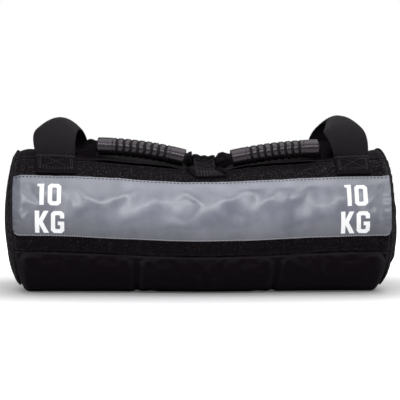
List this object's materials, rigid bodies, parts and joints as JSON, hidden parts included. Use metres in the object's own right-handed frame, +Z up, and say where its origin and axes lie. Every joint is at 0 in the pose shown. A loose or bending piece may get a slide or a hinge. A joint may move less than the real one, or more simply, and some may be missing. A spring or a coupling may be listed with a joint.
{
  "type": "sandbag trainer",
  "caption": "Cylindrical fabric sandbag for strength training, lying on its side, with ribbed rubber carry grips on top, webbing end loops, a grey band and a zip along the back",
  "frame": {"origin": "on the floor plane, at the middle of the pad's flat underside, midway between the two end seams", "axes": "+X along the bag, towards the end where the closed zip's slider is; -Y faces the viewer, on the side of the grey band; +Z up, away from the floor"},
  "size_m": [0.533, 0.2001, 0.2431],
  "materials": {
    "black_cloth": "coarse woven polyester with a faint speckle",
    "black_coated_cloth": "smooth coated cloth, slightly glossy",
    "pad_cloth": "plain close-woven cloth, quilted",
    "grey_vinyl": "coated vinyl, satin, with soft creases",
    "black_webbing": "ribbed polyester webbing",
    "black_rubber": "moulded rubber, semi-gloss",
    "black_tape": "narrow woven tape",
    "black_nylon": "nylon coil",
    "blackened_metal": "black enamel on die-cast metal",
    "grey_foam": "closed-cell foam",
    "liner_cloth": "thin woven liner",
    "dry_sand": "dry grains, poured and tied in"
  },
  "bodies": {
    "bag": {"back_panel": "black_cloth", "base_pad": "pad_cloth", "base_panel": "black_cloth", "centre_tab": "black_webbing", "foam_sleeve": "grey_foam", "front_panel": "black_cloth", "handle_centre_cord": "black_webbing", "left_end_binding": "black_tape", "left_end_panel": "black_cloth", "left_filler_skin": "liner_cloth", "left_filler_tie": "black_tape", "left_foam_disc": "grey_foam", "left_handle_cord": "black_webbing", "left_handle_flare": "black_webbing", "left_handle_foot": "black_webbing", "left_loop_back_foot": "black_webbing", "left_loop_back_leg": "black_webbing", "left_loop_front_foot": "black_webbing", "left_loop_front_leg": "black_webbing", "left_sand_fill": "dry_sand", "marking_band": "grey_vinyl", "right_end_binding": "black_tape", "right_end_panel": "black_cloth", "right_filler_skin": "liner_cloth", "right_filler_tie": "black_tape", "right_foam_disc": "grey_foam", "right_handle_cord": "black_webbing", "right_handle_flare": "black_webbing", "right_handle_foot": "black_webbing", "right_loop_back_foot": "black_webbing", "right_loop_back_leg": "black_webbing", "right_loop_front_foot": "black_webbing", "right_loop_front_leg": "black_webbing", "right_sand_fill": "dry_sand", "top_panel": "black_coated_cloth", "zip_coil": "black_nylon", "zip_left_stop": "blackened_metal", "zip_right_stop": "blackened_metal", "zip_tape_lower": "black_tape", "zip_tape_upper": "black_tape"},
    "left_handle": {"left_grip_core": "black_webbing"},
    "left_grip_tube": {"left_grip": "black_rubber"},
    "right_handle": {"right_grip_core": "black_webbing"},
    "right_grip_tube": {"right_grip": "black_rubber"},
    "left_loop": {"left_loop_arch": "black_webbing"},
    "right_loop": {"right_loop_arch": "black_webbing"},
    "slider": {"zip_slider": "blackened_metal"},
    "puller": {"zip_puller": "blackened_metal"}
  },
  "joints": [
    {"name": "left_handle_lift", "type": "slide", "parent": "bag", "child": "left_handle", "axis": [0, 0, 1], "range_m": [0, 0.014], "deforming": ["left_handle_flare", "left_handle_cord"]},
    {"name": "left_grip_roll", "type": "hinge", "parent": "left_handle", "child": "left_grip_tube", "pos_m": [-0.08354, -0.0318, 0.19444], "axis": [-0.9892, 0.0692, 0.1292], "range_deg": [-25, 25]},
    {"name": "right_handle_lift", "type": "slide", "parent": "bag", "child": "right_handle", "axis": [0, 0, 1], "range_m": [0, 0.014], "deforming": ["right_handle_flare", "right_handle_cord"]},
    {"name": "right_grip_roll", "type": "hinge", "parent": "right_handle", "child": "right_grip_tube", "pos_m": [0.10328, -0.039, 0.19365], "axis": [0.9928, 0, 0.1201], "range_deg": [-25, 25]},
    {"name": "left_loop_lean", "type": "hinge", "parent": "bag", "child": "left_loop", "pos_m": [-0.19, -0.00014, 0.18722], "axis": [0.1439, 0.9895, -0.0103], "range_deg": [-20, 25], "deforming": ["left_loop_front_leg", "left_loop_back_leg"]},
    {"name": "right_loop_lean", "type": "hinge", "parent": "bag", "child": "right_loop", "pos_m": [0.1895, -0.00011, 0.18714], "axis": [-0.2467, 0.9689, -0.0165], "range_deg": [-14, 30], "deforming": ["right_loop_front_leg", "right_loop_back_leg"]},
    {"name": "zip_slide", "type": "slide", "parent": "bag", "child": "slider", "axis": [-1, 0, 0], "range_m": [0, 0.449]},
    {"name": "puller_flip", "type": "hinge", "parent": "slider", "child": "puller", "pos_m": [0.2247, 0.08504, 0.1497], "axis": [0, 0.5, -0.866], "range_deg": [0, 165]}
  ]
}
